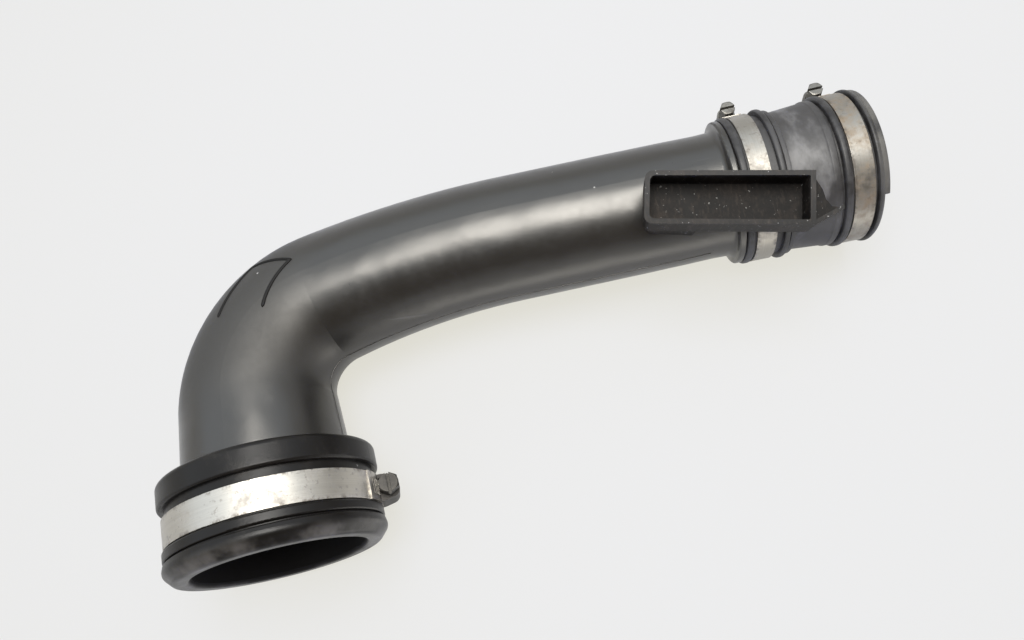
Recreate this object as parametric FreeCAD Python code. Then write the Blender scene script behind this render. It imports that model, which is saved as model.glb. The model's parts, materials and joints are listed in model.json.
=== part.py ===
# Charge air hose: a moulded elbow pipe that narrows towards its straight end, a short rubber cuff on
# the wide end, a longer rubber sleeve on the narrow end, three worm drive clamps, and a channel
# shaped bracket on the pipe whose outer end has snapped off. Millimetres, +Z up, lying at rest.
import math
import os

import FreeCAD
import Part

# Centreline of the pipe, in its own plane
straight_run = 97.0          # from the gentle bend to the stop flange
gentle_radius = 367.0
gentle_angle = 13.8
elbow_radius = 44.7
elbow_angle = 83.6
wide_run = 25.0              # from the elbow to the cuff

# Pipe wall and its radius along the centreline
wall = 3.0
radius_at_flange = 26.9
radius_at_gentle_bend = 28.2
radius_at_elbow_start = 30.4
radius_at_elbow_end = 33.4
radius_at_cuff = 34.6

# Pipe ends
flange_rise = 4.1            # of the stop flange over the pipe
flange_thick = 2.8
flare_length = 8.0
flare_rise = 0.2
flare_root = 0.6             # from the flange back to the flare's root
flare_round = 2.4
flange_round = 0.8
spigot_radius = 25.6
spigot_length = 22.0
spigot_ridge = 0.6           # height of the ridge round the spigot's tip
ridge_length = 4.0           # from the ridge's foot to the tip
ridge_slope = 1.0
tip_slope = 1.5
tip_taper = 0.8
hook_rise = 4.0              # of the collar moulded round the wide end, which holds the cuff
hook_thick = 4.6
hook_round = 0.8

# Rubber cuff on the wide end, lengths from its open end
cuff_over_hook = 5.6         # rubber outside the pipe's moulded collar
cuff_bore_step = 0.9         # bore's radius under the pipe's
cuff_mouth_chamfer = 1.6
cuff_lip_crest = 4.4         # the lip's widest line
cuff_lip_slope = 4.0         # from the crest in to the mouth
cuff_ring_drop = 0.7         # of the ring under the lip
cuff_band_sink = 1.3         # of the band's face under the lip
cuff_lip_length = 8.4
cuff_ring_length = 4.2
cuff_clamp_gap = 3.2
cuff_collar_length = 10.4
cuff_collar_cover = 6.6      # rubber past the pipe's moulded collar
cuff_groove_depth = 2.0
cuff_groove_side = 0.3
cuff_neck_drop = 0.6         # of the neck by the collar under the groove
cuff_round = 2.2
collar_round = 1.4

# Rubber sleeve on the narrow end, lengths from its open end
sleeve_bore_step = 1.4       # bore's radius over the spigot's
sleeve_wall = 3.6
sleeve_lip_rise = 1.7        # of the lip over the body
sleeve_waist_drop = 1.0      # of the body where it meets the pipe
sleeve_band_sink = 0.8       # of the bands' faces under the lip
sleeve_mouth_chamfer = 0.8
sleeve_lip_crest = 4.5       # the lip's widest line
sleeve_lip_slope = 1.2       # from the crest in to the mouth
sleeve_bead_drop = 0.1
small_bead_rise = 0.5        # of the two low beads over the body
bead_side = 0.3              # slant of a bead's side
bead_round = 0.8
sleeve_end_drop = 0.4        # of the last bead under the others
sleeve_lip_length = 9.0
sleeve_bead_length = 3.0
sleeve_step_length = 3.6
sleeve_body_length = 15.0
sleeve_inner_bead_length = 5.0
sleeve_inner_gap = 2.6
sleeve_end_bead_length = 3.2
sleeve_groove_depth = 1.2
sleeve_round = 1.0
sleeve_lip_round = 4.0
tongue_length = 3.6          # half ring that stands out of the sleeve's open end
tongue_thick = 3.4
tongue_inset = 0.6           # under the lip
tongue_root = 1.0            # depth of its root in the sleeve
tongue_start = -115.0
tongue_sweep = 180.0

# Worm drive clamps
wide_band_width = 12.0
narrow_band_width = 8.0
band_thick = 0.7
band_edge_round = 0.2
seat_side_gap = 0.5          # each side of a band in its groove
wide_screw_radius = 3.4
narrow_screw_radius = 2.7
wide_hex = 7.8               # across flats
narrow_hex = 6.0
wide_housing_length = 13.0
narrow_housing_length = 10.0
housing_wall = 0.9
worm_pitch = 2.2
worm_depth = 0.5
screw_collar_rim = 0.5
screw_collar_gap = 0.5       # from the housing to the collar
screw_collar_thick = 1.2
screw_collar_round = 0.3
head_sink = 0.2              # of the head in its collar
head_round = 1.0
tail_angle = 24.0            # free end of a band past the middle of its housing
wide_clamp_angle = -18.0
inner_clamp_angle = 2.0
outer_clamp_angle = 0.0

# Bracket: a channel closed by an end rib, with the stump of a web beyond the rib
bracket_lean = 16.0          # turned round the pipe from straight up
bracket_turn = -12.8         # its length, turned from the pipe's line
bracket_back = 40.0          # from the stop flange back to its closed end
bracket_shift = -5.5         # across the pipe, middle of the closed end
bracket_length = 62.0
bracket_width = 20.4
bracket_depth = 13.6
bracket_gap = 1.5            # from the sleeve's lip out to its underside
bracket_wall = 1.9
bracket_corner = 3.0
foot_length = 22.0
foot_inset = 1.2
web_drop = 4.0               # from the rim down to the web
stump_length = 10.0          # reach of the broken side wall past the rib
stump_rise = 6.2             # how far that wall turns in

# Fits
rubber_clearance = 0.1
steel_clearance = 0.1
weld_gap = 0.05

V = FreeCAD.Vector


def corner_rounded(points, radii):
    """Closed wire through the points, each corner rounded by its radius (0 keeps it sharp)."""
    count = len(points)
    corners = []
    for index, point in enumerate(points):
        radius = radii[index]
        if radius == 0:
            corners.append((point, point, point))
            continue
        back = (points[index - 1] - point).normalize()
        ahead = (points[(index + 1) % count] - point).normalize()
        half = back.getAngle(ahead) / 2
        reach = radius / math.tan(half)
        crown = point + (back + ahead).normalize() * (radius / math.sin(half) - radius)
        corners.append((point + back * reach, crown, point + ahead * reach))
    chain = []
    for index, (start, crown, stop) in enumerate(corners):
        if radii[index] > 0:
            chain.append(Part.Arc(start, crown, stop).toShape())
        arrive = corners[(index + 1) % count][0]
        if stop.distanceToPoint(arrive) > 1e-6:
            chain.append(Part.LineSegment(stop, arrive).toShape())
    return Part.Wire(chain)


def turned(profile):
    """Solid of revolution about local Z, from (height, radius, rounding) corners."""
    points = [V(radius, 0, height) for height, radius, _ in profile]
    wire = corner_rounded(points, [rounding for _, _, rounding in profile])
    return Part.Face(wire).revolve(V(0, 0, 0), V(0, 0, 1), 360)


def frame_at(origin, x_axis, z_axis):
    """Placement whose local X and Z lie along the given directions."""
    y_axis = z_axis.cross(x_axis)
    matrix = FreeCAD.Matrix(
        x_axis.x, y_axis.x, z_axis.x, origin.x,
        x_axis.y, y_axis.y, z_axis.y, origin.y,
        x_axis.z, y_axis.z, z_axis.z, origin.z,
        0, 0, 0, 1)
    return FreeCAD.Placement(matrix)


def placed(shape, placement):
    """Copy of a shape moved by a placement."""
    copy = shape.copy()
    copy.Placement = placement.multiply(copy.Placement)
    return copy


def heading(angle):
    """Direction of travel after the pipe has turned by an angle, going from the narrow end."""
    turn = math.radians(angle)
    return V(-math.cos(turn), -math.sin(turn), 0)


def arc_point(start, start_angle, radius, angle):
    """Point reached from start along an arc that turns the centreline to the left."""
    first = math.radians(start_angle)
    last = math.radians(start_angle + angle)
    return start + V(radius * (math.sin(first) - math.sin(last)),
                     radius * (math.cos(last) - math.cos(first)), 0)


# Named points of the centreline
flange_face = V(straight_run, 0, 0)
gentle_start = V(0, 0, 0)
elbow_start = arc_point(gentle_start, 0, gentle_radius, gentle_angle)
elbow_end = arc_point(elbow_start, gentle_angle, elbow_radius, elbow_angle)
full_turn = gentle_angle + elbow_angle
wide_direction = heading(full_turn)
cuff_top = elbow_end + wide_direction * wide_run

# Radii that follow from the pipe's ends
flange_radius = radius_at_flange + flange_rise
hook_radius = radius_at_cuff + hook_rise
cuff_radius = hook_radius + cuff_over_hook
cuff_bore_radius = radius_at_cuff - cuff_bore_step
wide_band_radius = cuff_radius - cuff_band_sink
sleeve_bore_radius = spigot_radius + sleeve_bore_step
sleeve_body_radius = sleeve_bore_radius + sleeve_wall
sleeve_waist_radius = sleeve_body_radius - sleeve_waist_drop
sleeve_lip_radius = sleeve_body_radius + sleeve_lip_rise
sleeve_band_radius = sleeve_lip_radius - sleeve_band_sink
bracket_rim_height = sleeve_lip_radius + bracket_gap + bracket_depth

# Lengths and places along the two ends
cuff_seat_length = wide_band_width + 2 * seat_side_gap
cuff_seat_start = cuff_lip_length + cuff_ring_length
cuff_collar_start = cuff_seat_start + cuff_seat_length + cuff_clamp_gap
cuff_length = cuff_collar_start + cuff_collar_length
sleeve_seat_length = narrow_band_width + 2 * seat_side_gap
outer_seat_start = sleeve_lip_length
sleeve_bead_start = outer_seat_start + sleeve_seat_length
sleeve_step_start = sleeve_bead_start + sleeve_bead_length
sleeve_body_start = sleeve_step_start + sleeve_step_length
inner_bead_start = sleeve_body_start + sleeve_body_length
inner_gap_start = inner_bead_start + sleeve_inner_bead_length
inner_seat_start = inner_gap_start + sleeve_inner_gap
end_bead_start = inner_seat_start + sleeve_seat_length
sleeve_length = end_bead_start + sleeve_end_bead_length

up = V(0, 0, 1)
cuff_side = up.cross(wide_direction) * -1
cuff_frame = frame_at(cuff_top + wide_direction * cuff_length, cuff_side * -1, wide_direction * -1)
sleeve_mouth = flange_face + V(sleeve_length + rubber_clearance, 0, 0)
sleeve_frame = frame_at(sleeve_mouth, V(0, 1, 0), V(-1, 0, 0))


def taper_sections():
    """Centre, turn and outer radius at the places where the pipe's taper changes."""
    return [(flange_face - V(flange_thick + flare_length, 0, 0), 0, radius_at_flange),
            (gentle_start, 0, radius_at_gentle_bend),
            (elbow_start, gentle_angle, radius_at_elbow_start),
            (elbow_end, full_turn, radius_at_elbow_end),
            (cuff_top, full_turn, radius_at_cuff)]


def pipe_body(inset):
    """Solid swept along the centreline through its circles, with each radius reduced by an inset."""
    gentle_middle = arc_point(gentle_start, 0, gentle_radius, gentle_angle / 2)
    elbow_middle = arc_point(elbow_start, gentle_angle, elbow_radius, elbow_angle / 2)
    sections = taper_sections()
    spine = Part.Wire([
        Part.LineSegment(sections[0][0], gentle_start).toShape(),
        Part.Arc(gentle_start, gentle_middle, elbow_start).toShape(),
        Part.Arc(elbow_start, elbow_middle, elbow_end).toShape(),
        Part.LineSegment(elbow_end, cuff_top).toShape()])
    sweep = Part.BRepOffsetAPI.MakePipeShell(spine)
    for centre, turn, radius in sections:
        circle = Part.Wire(Part.makeCircle(radius - inset))
        sweep.add(placed(circle, frame_at(centre, up, heading(turn))), False, False)
    sweep.build()
    sweep.makeSolid()
    return sweep.shape()


def make_pipe():
    """One moulding: tapering elbow, flared stop flange and spigot, and a collar at the wide end."""
    flare_start = flange_thick + flare_length
    tip = spigot_length
    ridge = spigot_radius + spigot_ridge
    ridge_foot = tip - ridge_length
    narrow = [(-flare_start, 0, 0), (-flare_start, radius_at_flange, 0),
              (-flange_thick - flare_root, radius_at_flange + flare_rise, flare_round),
              (-flange_thick, flange_radius, flange_round), (0, flange_radius, flange_round),
              (0, spigot_radius, 0), (ridge_foot, spigot_radius, 0), (ridge_foot + ridge_slope, ridge, 0),
              (tip - tip_slope, ridge, 0), (tip, spigot_radius - tip_taper, 0), (tip, 0, 0)]
    narrow_frame = frame_at(flange_face, V(0, 1, 0), V(1, 0, 0))
    end = cuff_collar_cover + hook_thick
    wide = [(0, 0, 0), (0, radius_at_cuff, 0), (cuff_collar_cover, radius_at_cuff, 0),
            (cuff_collar_cover, hook_radius, hook_round), (end, hook_radius, hook_round), (end, 0, 0)]
    wide_frame = frame_at(cuff_top, cuff_side, wide_direction)
    ends = [placed(turned(narrow), narrow_frame), placed(turned(wide), wide_frame)]
    outer = pipe_body(0).fuse(ends)
    past = wall
    bore = [(-flare_start, 0, 0), (-flare_start, radius_at_flange - wall, 0),
            (0, spigot_radius - wall, 0), (tip + past, spigot_radius - wall, 0), (tip + past, 0, 0)]
    mouth = [(0, 0, 0), (0, radius_at_cuff - wall, 0), (end + past, radius_at_cuff - wall, 0),
             (end + past, 0, 0)]
    bores = [placed(turned(bore), narrow_frame), placed(turned(mouth), wide_frame)]
    inner = pipe_body(wall).fuse(bores)
    return outer.cut(inner).removeSplitter()


def make_cuff():
    """Rubber cuff: rounded lip, ring, clamp seat and a thick collar over the pipe's moulded collar."""
    seat = wide_band_radius - band_thick - steel_clearance
    groove = cuff_radius - cuff_groove_depth
    ring_start = cuff_lip_length
    seat_end = cuff_seat_start + cuff_seat_length
    hook_top = cuff_length - cuff_collar_cover + rubber_clearance
    hook_bottom = hook_top - hook_thick - 2 * rubber_clearance
    pipe_hole = radius_at_cuff + rubber_clearance
    ring_radius = cuff_radius - cuff_ring_drop
    neck = groove - cuff_neck_drop
    lip = [(0, cuff_bore_radius + cuff_mouth_chamfer, collar_round),
           (0, cuff_radius - cuff_lip_slope, 3.0), (cuff_lip_crest, cuff_radius, 3.2),
           (ring_start - 2 * cuff_groove_side, ring_radius, cuff_ring_drop),
           (ring_start - cuff_groove_side, groove, 0), (ring_start, groove, 0)]
    ring = [(ring_start + cuff_groove_side, ring_radius, cuff_ring_drop),
            (cuff_seat_start, ring_radius, cuff_ring_drop)]
    clamp_seat = [(cuff_seat_start, seat, 0), (seat_end, seat, 0), (seat_end, neck, 0),
                  (cuff_collar_start, neck, 0)]
    collar = [(cuff_collar_start, cuff_radius, collar_round), (cuff_length, cuff_radius, cuff_round),
              (cuff_length, pipe_hole, 0)]
    pocket = hook_radius + rubber_clearance
    inside = [(hook_top, pipe_hole, 0), (hook_top, pocket, 0), (hook_bottom, pocket, 0),
              (hook_bottom, cuff_bore_radius, 0), (cuff_mouth_chamfer, cuff_bore_radius, 0)]
    return placed(turned(lip + ring + clamp_seat + collar + inside), cuff_frame)


def make_sleeve():
    """Rubber sleeve: lip, clamp seat, beads, smooth body, second clamp seat, and a tongue at the mouth."""
    seat = sleeve_band_radius - band_thick - steel_clearance
    groove = sleeve_lip_radius - 2 * sleeve_groove_depth
    seat_end = outer_seat_start + sleeve_seat_length
    bead = sleeve_lip_radius - sleeve_bead_drop
    end_bead = bead - sleeve_end_drop
    small_bead = sleeve_body_radius + small_bead_rise
    step_rise = sleeve_step_start + 3 * bead_side
    ridge = inner_bead_start + sleeve_inner_bead_length / 2
    small_lip = sleeve_lip_radius - small_bead_rise
    lip_back = outer_seat_start - 3 * bead_side
    lip = [(0, sleeve_bore_radius + sleeve_mouth_chamfer, 0),
           (0, sleeve_lip_radius - sleeve_lip_slope, sleeve_round),
           (sleeve_lip_crest, sleeve_lip_radius, sleeve_lip_round),
           (lip_back - bead_side, small_lip, small_bead_rise), (lip_back, groove, 0), (outer_seat_start, groove, 0)]
    outer_seat = [(outer_seat_start, seat, 0), (seat_end, seat, 0)]
    beads = [(seat_end, bead, sleeve_round), (sleeve_step_start - bead_side, bead, sleeve_round),
             (sleeve_step_start, groove, 0), (step_rise, groove, 0),
             (step_rise, small_bead, small_bead_rise), (sleeve_body_start, small_bead, small_bead_rise),
             (sleeve_body_start + 2 * bead_side, sleeve_body_radius, 0)]
    body = [(inner_bead_start, sleeve_waist_radius, 0),
            (inner_bead_start + bead_side, small_bead, small_bead_rise),
            (ridge - bead_side, small_bead, small_bead_rise), (ridge, sleeve_waist_radius + small_bead_rise, 0),
            (ridge + bead_side, bead, bead_round), (inner_gap_start, bead, bead_round)]
    inner_seat = [(inner_gap_start, groove, 0), (inner_seat_start, groove, 0), (inner_seat_start, seat, 0),
                  (end_bead_start, seat, 0), (end_bead_start, end_bead, sleeve_round),
                  (sleeve_length, end_bead, sleeve_round)]
    spigot_hole = spigot_radius + rubber_clearance
    ridge_room = spigot_radius + spigot_ridge + rubber_clearance
    spigot_tip = sleeve_length - spigot_length
    ridge_foot = spigot_tip + ridge_length + 2 * rubber_clearance
    inside = [(sleeve_length, spigot_hole, 0), (ridge_foot, spigot_hole, 0),
              (ridge_foot - ridge_slope, ridge_room, 0), (spigot_tip, ridge_room, 0),
              (spigot_tip - ridge_slope, sleeve_bore_radius, 0),
              (sleeve_mouth_chamfer, sleeve_bore_radius, 0)]
    ring = turned(lip + outer_seat + beads + body + inner_seat + inside)
    tongue_outer = sleeve_lip_radius - tongue_inset
    tongue_inner = tongue_outer - tongue_thick
    section = [V(tongue_inner, 0, tongue_root), V(tongue_outer, 0, tongue_root),
               V(tongue_outer, 0, -tongue_length), V(tongue_inner, 0, -tongue_length)]
    face = Part.Face(corner_rounded(section, [0, 0, 1.2, 0.8]))
    face.rotate(V(0, 0, 0), up, tongue_start)
    tongue = face.revolve(V(0, 0, 0), up, tongue_sweep)
    return placed(ring.fuse(tongue).removeSplitter(), sleeve_frame)


def clamp_band(outer_radius, width):
    """Steel strip bent to a ring whose slotted free end lies over it, past the housing at local +X."""
    inner_radius = outer_radius - band_thick
    ring = turned([(-width / 2, inner_radius, 0), (-width / 2, outer_radius, band_edge_round),
                   (width / 2, outer_radius, band_edge_round), (width / 2, inner_radius, 0)])
    tail_radius = outer_radius + band_thick
    section = Part.makePolygon([V(outer_radius - 0.1, 0, -width / 2), V(tail_radius, 0, -width / 2),
                                V(tail_radius, 0, width / 2), V(outer_radius - 0.1, 0, width / 2),
                                V(outer_radius - 0.1, 0, -width / 2)])
    face = Part.Face(section)
    face.rotate(V(0, 0, 0), up, -tail_angle)
    tail = face.revolve(V(0, 0, 0), up, 2 * tail_angle)
    slot_step = math.degrees(worm_pitch / tail_radius)
    slot = Part.makeBox(band_thick * 2, worm_pitch * 0.45, width * 0.55)
    slot.translate(V(outer_radius + 0.15, -worm_pitch * 0.225, -width * 0.275))
    slots = []
    for index in range(int(2 * tail_angle / slot_step) - 1):
        copy = slot.copy()
        copy.rotate(V(0, 0, 0), V(1, 0, 0), 8)
        copy.rotate(V(0, 0, 0), up, -tail_angle + (index + 1) * slot_step)
        slots.append(copy)
    return ring.fuse(tail.cut(slots)).removeSplitter()


def clamp_housing(outer_radius, width, screw_radius, length):
    """Folded steel saddle with an arched roof over the worm, seated on the band at local +X."""
    seat_radius = outer_radius + band_thick + steel_clearance
    axis = seat_radius + screw_radius + steel_clearance
    roof = screw_radius + steel_clearance + housing_wall
    foot = width / 2 - 0.2
    inner = seat_radius - band_thick
    outline = [V(inner, 0, -foot), V(seat_radius + 1.0, 0, -foot), V(axis + roof, 0, -roof),
               V(axis + roof, 0, roof), V(seat_radius + 1.0, 0, foot), V(inner, 0, foot)]
    face = Part.Face(corner_rounded(outline, [0, 0.6, roof * 0.8, roof * 0.8, 0.6, 0]))
    face.translate(V(0, -length / 2, 0))
    block = face.extrude(V(0, length, 0))
    band_room = Part.makeCylinder(seat_radius, 2 * width, V(0, 0, -width), up)
    worm_start = V(axis, -length, 0)
    worm_room = Part.makeCylinder(screw_radius + steel_clearance, 2 * length, worm_start, V(0, 1, 0))
    window = Part.makeBox(2 * roof, length * 0.5, 1.1 * screw_radius)
    window.translate(V(axis, -length * 0.32, -0.55 * screw_radius))
    return block.cut([band_room, worm_room, window])


def clamp_screw(outer_radius, screw_radius, hexagon, length):
    """Worm screw along local +Y: ridged shank, collar and a slotted hexagon head."""
    axis = outer_radius + band_thick + screw_radius + 2 * steel_clearance
    start = -length / 2 - 0.8
    stop = length / 2
    profile = [(start, 0, 0), (start, screw_radius - worm_depth, 0)]
    ridges = int((stop - start - 1.0) / worm_pitch)
    for index in range(ridges):
        base = start + 0.4 + index * worm_pitch
        profile.append((base, screw_radius - worm_depth, 0))
        profile.append((base + worm_pitch * 0.3, screw_radius, 0))
        profile.append((base + worm_pitch * 0.6, screw_radius, 0))
        profile.append((base + worm_pitch * 0.9, screw_radius - worm_depth, 0))
    neck = screw_radius - worm_depth
    collar = screw_radius + screw_collar_rim
    head = hexagon * 0.75
    collar_start = stop + screw_collar_gap
    collar_end = collar_start + screw_collar_thick
    profile += [(collar_start, neck, 0), (collar_start, collar, screw_collar_round),
                (collar_end, collar, screw_collar_round), (collar_end, 0, 0)]
    shank = turned(profile)
    head_start = collar_end - head_sink
    corners = []
    for index in range(7):
        turn = math.radians(60 * index)
        corner = V(math.cos(turn), math.sin(turn), 0) * (hexagon / math.sqrt(3))
        corners.append(corner + V(0, 0, head_start))
    nut = Part.Face(Part.makePolygon(corners)).extrude(V(0, 0, head))
    head_end = head_start + head
    dome = turned([(head_start, 0, 0), (head_start, hexagon * 0.6, 0), (head_end, hexagon * 0.6, head_round),
                   (head_end, 0, 0)])
    slot = Part.makeBox(hexagon * 2, hexagon * 0.2, head)
    slot.translate(V(-hexagon, -hexagon * 0.1, head_start + head * 0.5))
    screw = shank.fuse(nut.common(dome).cut(slot)).removeSplitter()
    return placed(screw, frame_at(V(axis, 0, 0), V(0, 0, 1), V(0, 1, 0)))


def make_clamp(name, frame, middle, angle, outer_radius, width, screw_radius, hexagon, length):
    """Band, housing and screw of one clamp, placed on a rubber end at a distance from its mouth."""
    upright = FreeCAD.Rotation(up, -angle).multiply(FreeCAD.Rotation(V(1, 0, 0), 180))
    seat = frame.multiply(FreeCAD.Placement(V(0, 0, middle), upright))
    return {
        name + "_band": placed(clamp_band(outer_radius, width), seat),
        name + "_housing": placed(clamp_housing(outer_radius, width, screw_radius, length), seat),
        name + "_screw": placed(clamp_screw(outer_radius, screw_radius, hexagon, length), seat),
    }


def flat_prism(corners, radii, top, bottom):
    """Upright prism between two heights over a corner-rounded outline in the XY plane."""
    wire = corner_rounded([V(x, y, top) for x, y in corners], radii)
    return Part.Face(wire).extrude(V(0, 0, bottom - top))


def make_bracket(pipe_solid):
    """Channel with a closed start, a rib, and past the rib the torn stump of its web and side wall."""
    half = bracket_width / 2
    inner = half - bracket_wall
    rib = bracket_length - bracket_wall
    tray = flat_prism([(0, -half), (bracket_length, -half), (bracket_length, half), (0, half)],
                      [bracket_corner, 0, 0, bracket_corner], 0, -bracket_depth)
    pocket = flat_prism([(bracket_wall, -inner), (rib, -inner), (rib, inner), (bracket_wall, inner)],
                        [bracket_corner - bracket_wall / 2, 0.6, 0.6, bracket_corner - bracket_wall / 2],
                        1.0, bracket_wall - bracket_depth)
    reach = bracket_length + stump_length
    tip = stump_rise - half
    web_edge = [(bracket_length, -half), (reach, tip), (reach - 0.4, tip + 1.4), (reach - 3.2, tip + 1.6),
                (reach - 5.4, tip + 4.2), (reach - 6.6, tip + 8.0), (reach - 8.6, half - 3.0),
                (bracket_length, half - 0.6)]
    web = flat_prism(web_edge, [0] * len(web_edge), -web_drop, -web_drop - bracket_wall)
    side = flat_prism([(bracket_length, -half), (reach, tip), (reach - 0.4, tip + 1.4),
                       (bracket_length, -half + bracket_wall)], [0, 0, 0, 0], 0, -web_drop - 3.0)
    foot = flat_prism([(foot_inset, -half + foot_inset), (foot_length, -half + foot_inset),
                       (foot_length, half - foot_inset), (foot_inset, half - foot_inset)],
                      [bracket_corner, 2.0, 2.0, bracket_corner], -bracket_depth + bracket_wall / 2,
                      -bracket_rim_height)
    body = tray.cut(pocket).fuse([web, side, foot]).removeSplitter()
    lean = FreeCAD.Rotation(V(1, 0, 0), bracket_lean)
    across = lean.multVec(V(0, 1, 0))
    away = lean.multVec(up)
    closed_end = flange_face - V(bracket_back, 0, 0)
    origin = closed_end + across * bracket_shift + away * bracket_rim_height
    along = FreeCAD.Rotation(away, bracket_turn).multVec(V(1, 0, 0))
    seated = placed(body, frame_at(origin, along, away)).cut(pipe_solid)
    return max(seated.Solids, key=lambda solid: solid.Volume)


def lowest_on(circle, normal):
    """Lowest point of a circle (centre, axis, radius) along a direction."""
    centre, axis, radius = circle
    down = normal * -1
    flat = down - axis * down.dot(axis)
    return centre + flat.normalize() * radius


def resting_normal():
    """Normal of the table: the plane under the elbow, the cuff and the sleeve together."""
    elbow_steps = 24
    elbow_rings = []
    for step in range(elbow_steps + 1):
        share = step / elbow_steps
        radius = radius_at_elbow_start + (radius_at_elbow_end - radius_at_elbow_start) * share
        centre = arc_point(elbow_start, gentle_angle, elbow_radius, elbow_angle * share)
        elbow_rings.append((centre, heading(gentle_angle + elbow_angle * share), radius))
    cuff_rims = [(cuff_frame.multVec(V(0, 0, height)), wide_direction, cuff_radius)
                 for height in (cuff_lip_crest, cuff_collar_start + collar_round, cuff_length - cuff_round)]
    sleeve_heights = (sleeve_lip_crest, sleeve_bead_start + sleeve_round, inner_gap_start - sleeve_round)
    sleeve_rims = [(sleeve_frame.multVec(V(0, 0, height)), V(1, 0, 0), sleeve_lip_radius)
                   for height in sleeve_heights]
    normal = up
    for _ in range(60):
        feet = []
        for group in (elbow_rings, cuff_rims, sleeve_rims):
            feet.append(min((lowest_on(circle, normal) for circle in group), key=normal.dot))
        plane = (feet[1] - feet[0]).cross(feet[2] - feet[0]).normalize()
        normal = (normal + plane).normalize()
    return normal


def make_nodes():
    """All the pieces in the pipe's own frame, by node name."""
    pipe = make_pipe()
    outer_solid = pipe_body(-weld_gap)
    nodes = {"pipe": pipe, "bracket": make_bracket(outer_solid), "wide_cuff": make_cuff(),
             "narrow_sleeve": make_sleeve()}
    cuff_middle = cuff_seat_start + cuff_seat_length / 2
    outer_middle = outer_seat_start + sleeve_seat_length / 2
    inner_middle = inner_seat_start + sleeve_seat_length / 2
    wide = (wide_band_radius, wide_band_width, wide_screw_radius, wide_hex, wide_housing_length)
    narrow = (sleeve_band_radius, narrow_band_width, narrow_screw_radius, narrow_hex, narrow_housing_length)
    nodes.update(make_clamp("wide_clamp", cuff_frame, cuff_middle, wide_clamp_angle, *wide))
    nodes.update(make_clamp("inner_clamp", sleeve_frame, inner_middle, inner_clamp_angle, *narrow))
    nodes.update(make_clamp("outer_clamp", sleeve_frame, outer_middle, outer_clamp_angle, *narrow))
    return nodes


def lay_down(nodes):
    """Turn the pieces so that the table is level, and set the origin under the middle of the whole."""
    normal = resting_normal()
    level = FreeCAD.Placement(V(0, 0, 0), FreeCAD.Rotation(normal, up))
    laid = {name: placed(shape, level) for name, shape in nodes.items()}
    whole = Part.makeCompound(list(laid.values())).optimalBoundingBox(True, False)
    shift = FreeCAD.Placement(V(-whole.Center.x, -whole.Center.y, -whole.ZMin), FreeCAD.Rotation())
    return {name: placed(shape, shift) for name, shape in laid.items()}, shift.multiply(level)


def main():
    """Build every piece, lay the whole down and write one STEP file for each node."""
    os.makedirs("parts", exist_ok=True)
    laid, _ = lay_down(make_nodes())
    for name, shape in laid.items():
        shape.exportStep("parts/" + name + ".step")
        print(name, "solids", len(shape.Solids), "volume", round(shape.Volume), "valid", shape.isValid())


main()
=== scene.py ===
# %% [markdown]
# # A charge air hose on a pale table
# The hose is a black moulded elbow with a rubber cuff, a rubber sleeve, three steel clamps and a
# snapped bracket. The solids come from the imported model, in metres, with the table at z = 0. This
# lesson gives each of them its finish, adds the fine moulded detail, and sets the camera and light.

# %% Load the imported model
import json
import math

import bpy
import numpy as np
from mathutils import Matrix, Vector
from mathutils.bvhtree import BVHTree


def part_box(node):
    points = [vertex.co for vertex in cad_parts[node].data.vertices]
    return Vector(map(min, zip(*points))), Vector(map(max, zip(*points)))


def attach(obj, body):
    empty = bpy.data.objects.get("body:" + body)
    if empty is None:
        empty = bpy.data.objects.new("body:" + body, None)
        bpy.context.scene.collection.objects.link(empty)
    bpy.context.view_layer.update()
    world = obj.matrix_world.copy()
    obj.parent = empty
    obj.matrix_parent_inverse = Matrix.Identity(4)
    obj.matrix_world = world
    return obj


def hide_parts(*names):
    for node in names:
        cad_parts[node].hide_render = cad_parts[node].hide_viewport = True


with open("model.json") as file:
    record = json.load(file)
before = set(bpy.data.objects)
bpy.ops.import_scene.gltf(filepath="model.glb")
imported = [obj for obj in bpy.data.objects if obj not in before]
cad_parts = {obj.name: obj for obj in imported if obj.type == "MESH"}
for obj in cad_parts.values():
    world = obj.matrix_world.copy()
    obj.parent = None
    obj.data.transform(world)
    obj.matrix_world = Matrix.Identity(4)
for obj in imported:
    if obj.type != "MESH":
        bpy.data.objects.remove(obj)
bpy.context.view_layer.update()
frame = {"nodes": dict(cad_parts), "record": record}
nodes = frame["nodes"]

# %% [markdown]
# ## The two ends
# Dirt, wear and brushing on the cuff, the sleeve and the clamps follow their axes, so the finishes
# need to know where those axes are. The record states both bores, with a point on each axis and the
# way that it points, and that is all a pattern needs.

# %% Axes of the cuff and the sleeve
mounts = {mount["name"]: mount for mount in frame["record"]["mounts"]}
CUFF_INSET = 0.0140     # from the cuff's mouth to the stated point of its bore
SLEEVE_INSET = 0.0180   # the same for the sleeve


def end_frame(mount, inset):
    """Mouth of a bore and the turn that carries local Z onto its inward axis, X staying near level."""
    outward = Vector(mount["axis"]).normalized()
    mouth = Vector(mount["pos_m"]) + outward * inset
    inward = -outward
    across = Vector((0, 0, 1)).cross(inward).normalized()
    turn = Matrix((across, inward.cross(across), inward)).transposed()
    return mouth, turn


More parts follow.
